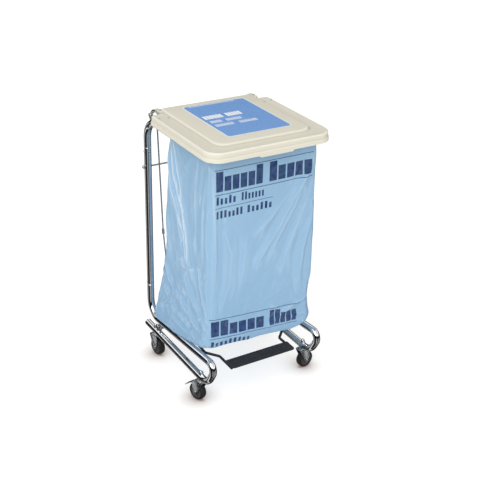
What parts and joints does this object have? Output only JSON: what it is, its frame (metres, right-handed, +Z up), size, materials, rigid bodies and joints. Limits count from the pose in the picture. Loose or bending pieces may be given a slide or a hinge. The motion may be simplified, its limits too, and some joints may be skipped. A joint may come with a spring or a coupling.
{
  "type": "linen trolley",
  "caption": "Chrome tube linen hamper on swivel casters with a hinged cream lid opened by a foot pedal and a hung blue film bag.",
  "frame": {"origin": "centre of the whole object's box seen from above, on the floor", "axes": "+Z up; the front with the pedal faces -Y; +X is to the right of someone who faces the rear from the front"},
  "size_m": [0.4952, 0.5102, 0.943],
  "materials": {
    "chrome": "bright chrome plate",
    "zinc": "zinc plate",
    "cream_plastic": "satin moulded cream",
    "blue_label": "printed card under clear film",
    "blue_film": "translucent blue film",
    "black_paint": "black coat",
    "black_rubber": "solid rubber tread",
    "grey_hub": "moulded dark grey"
  },
  "bodies": {
    "frame": {"side_tube_left": "chrome", "side_tube_right": "chrome", "post_left": "chrome", "post_right": "chrome", "top_arm_left": "chrome", "top_arm_right": "chrome", "tie_nut_left": "zinc", "tie_nut_right": "zinc", "rear_strut_left": "chrome", "rear_strut_right": "chrome", "tube_plug_left": "zinc", "tube_plug_right": "zinc", "pivot_lug_left": "zinc", "pivot_lug_right": "zinc", "hinge_bracket_left": "zinc", "hinge_bracket_right": "zinc", "hoop_rear_bar": "chrome", "tie_rod": "zinc", "rear_cross_tube": "chrome", "bag": "blue_film", "caster_stem_front_left": "chrome", "caster_stem_front_right": "chrome", "caster_stem_rear_left": "chrome", "caster_stem_rear_right": "chrome"},
    "lid": {"lid_shell": "cream_plastic", "lid_label": "blue_label", "hinge_arm_left": "chrome", "hinge_arm_right": "chrome", "hinge_hood_left": "cream_plastic", "hinge_hood_right": "cream_plastic", "lid_crank": "zinc"},
    "pedal": {"pedal_arm_left": "black_paint", "pedal_arm_right": "black_paint", "pedal_boss_left": "black_paint", "pedal_boss_right": "black_paint", "pedal_rear_bar": "black_paint", "pedal_tread": "black_paint"},
    "link": {"link_lower": "zinc", "link_adjuster": "zinc", "link_upper": "zinc"},
    "caster_front_left": {"caster_fork_front_left": "chrome", "caster_axle_front_left": "zinc"},
    "wheel_front_left": {"caster_tyre_front_left": "black_rubber", "caster_hub_front_left": "grey_hub"},
    "caster_front_right": {"caster_fork_front_right": "chrome", "caster_axle_front_right": "zinc"},
    "wheel_front_right": {"caster_tyre_front_right": "black_rubber", "caster_hub_front_right": "grey_hub"},
    "caster_rear_left": {"caster_fork_rear_left": "chrome", "caster_axle_rear_left": "zinc"},
    "wheel_rear_left": {"caster_tyre_rear_left": "black_rubber", "caster_hub_rear_left": "grey_hub"},
    "caster_rear_right": {"caster_fork_rear_right": "chrome", "caster_axle_rear_right": "zinc"},
    "wheel_rear_right": {"caster_tyre_rear_right": "black_rubber", "caster_hub_rear_right": "grey_hub"},
    "brake_front_left": {"brake_lever_front_left": "zinc"}
  },
  "joints": [
    {"name": "lid_hinge", "type": "hinge", "parent": "frame", "child": "lid", "pos_m": [-0.00839, 0.23262, 0.91], "axis": [-1, 0, 0], "range_deg": [0, 75]},
    {"name": "pedal_pivot", "type": "hinge", "parent": "frame", "child": "pedal", "pos_m": [-0.00839, -0.00038, 0.15], "axis": [1, 0, 0], "range_deg": [0, 9.5]},
    {"name": "link_pivot", "type": "hinge", "parent": "pedal", "child": "link", "pos_m": [-0.13939, 0.20862, 0.133], "axis": [1, 0, 0], "range_deg": [-9.5, 0]},
    {"name": "swivel_front_left", "type": "hinge", "parent": "frame", "child": "caster_front_left", "pos_m": [-0.21789, -0.15888, 0.075], "axis": [0, 0, 1], "continuous": true},
    {"name": "spin_front_left", "type": "hinge", "parent": "caster_front_left", "child": "wheel_front_left", "pos_m": [-0.22198, -0.14549, 0.032], "axis": [-0.9563, -0.2924, 0], "continuous": true},
    {"name": "swivel_front_right", "type": "hinge", "parent": "frame", "child": "caster_front_right", "pos_m": [0.20111, -0.15888, 0.075], "axis": [0, 0, 1], "continuous": true},
    {"name": "spin_front_right", "type": "hinge", "parent": "caster_front_right", "child": "wheel_front_right", "pos_m": [0.21497, -0.15693, 0.032], "axis": [-0.1392, 0.9903, 0], "continuous": true},
    {"name": "swivel_rear_left", "type": "hinge", "parent": "frame", "child": "caster_rear_left", "pos_m": [-0.21789, 0.18812, 0.075], "axis": [0, 0, 1], "continuous": true},
    {"name": "spin_rear_left", "type": "hinge", "parent": "caster_rear_left", "child": "wheel_rear_left", "pos_m": [-0.21594, 0.17426, 0.032], "axis": [0.9903, 0.1392, 0], "continuous": true},
    {"name": "swivel_rear_right", "type": "hinge", "parent": "frame", "child": "caster_rear_right", "pos_m": [0.20111, 0.18812, 0.075], "axis": [0, 0, 1], "continuous": true},
    {"name": "spin_rear_right", "type": "hinge", "parent": "caster_rear_right", "child": "wheel_rear_right", "pos_m": [0.2059, 0.17496, 0.032], "axis": [0.9397, 0.342, 0], "continuous": true},
    {"name": "brake_front_left", "type": "hinge", "parent": "caster_front_left", "child": "brake_front_left", "pos_m": [-0.22856, -0.12397, 0.0605], "axis": [-0.9563, -0.2924, 0], "range_deg": [0, 15]}
  ],
  "couplings": [
    {"joint": "pedal_pivot", "follows": "lid_hinge", "ratio": 0.1244},
    {"joint": "link_pivot", "follows": "lid_hinge", "ratio": -0.1244}
  ]
}
